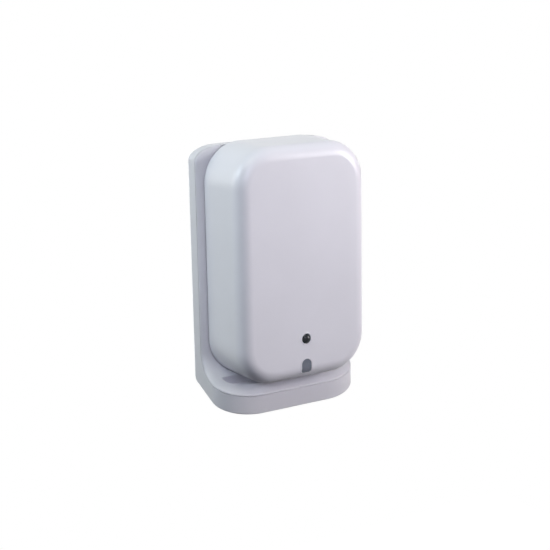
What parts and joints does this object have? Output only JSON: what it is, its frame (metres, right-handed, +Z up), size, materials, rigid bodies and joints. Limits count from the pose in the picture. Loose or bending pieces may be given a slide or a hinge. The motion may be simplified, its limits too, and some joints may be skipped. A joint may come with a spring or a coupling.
{
  "type": "presence sensor",
  "caption": "Wall-held radar presence sensor: a rounded white unit with a light sensor dome and status window, hooked onto an L-shaped bracket with a sloping foot.",
  "frame": {"origin": "centre of the two wall screw holes, on the bracket's wall face, level with the middle of the sensor body", "axes": "+X to the viewer's right, +Y into the wall, +Z up; the sensor faces -Y"},
  "size_m": [0.0628, 0.0325, 0.1026],
  "materials": {
    "white_body_plastic": "moulded ABS, satin gloss",
    "white_bracket_plastic": "moulded ABS, satin",
    "button_plastic": "moulded, satin",
    "lens_plastic": "polished dark polycarbonate",
    "window_plastic": "smoked polycarbonate",
    "adhesive_foam": "acrylic foam strip",
    "foot_rubber": "silicone rubber",
    "seal_foam": "closed-cell foam",
    "screw_steel": "zinc plated",
    "circuit_board": "solder mask",
    "chip_black": "moulded epoxy",
    "led_white": "clear epoxy",
    "antenna_copper": "gold-plated copper",
    "can_steel": "tin-plated sheet",
    "pin_brass": "gold-plated",
    "capacitor_metal": "drawn can",
    "ceramic_tan": "ceramic block"
  },
  "bodies": {
    "bracket": {"bracket_base": "white_bracket_plastic", "bracket_cover": "white_bracket_plastic", "bracket_screws": "screw_steel", "adhesive_pads": "adhesive_foam", "foot_pad": "foot_rubber"},
    "sensor": {"front_cover": "white_body_plastic", "rear_cover": "white_body_plastic", "case_screws": "screw_steel", "light_sensor_lens": "lens_plastic", "status_window": "window_plastic", "light_seal": "seal_foam", "radar_board": "circuit_board", "radar_board_screws": "screw_steel", "antenna_patches": "antenna_copper", "main_board": "circuit_board", "main_board_screws": "screw_steel", "wireless_module": "circuit_board", "module_shield": "can_steel", "board_header": "chip_black", "board_socket": "chip_black", "header_pins": "pin_brass", "usb_shell": "can_steel", "usb_insert": "chip_black", "button_switch": "can_steel", "radar_chip": "chip_black", "light_sensor_chip": "chip_black", "status_led": "led_white", "memory_chip": "chip_black", "crystal": "can_steel", "power_inductor": "chip_black", "voltage_regulator": "chip_black", "power_capacitors": "capacitor_metal", "ceramic_capacitors": "ceramic_tan"},
    "button": {"reset_button": "button_plastic", "switch_plunger": "chip_black"}
  },
  "joints": [
    {"name": "sensor_lift", "type": "slide", "parent": "bracket", "child": "sensor", "axis": [0, 0, 1], "range_m": [0, 0.0103]},
    {"name": "button_press", "type": "slide", "parent": "sensor", "child": "button", "axis": [0, -1, 0], "range_m": [0, 0.0005], "stiffness_N_per_m": 400, "springref_m": -0.003}
  ]
}
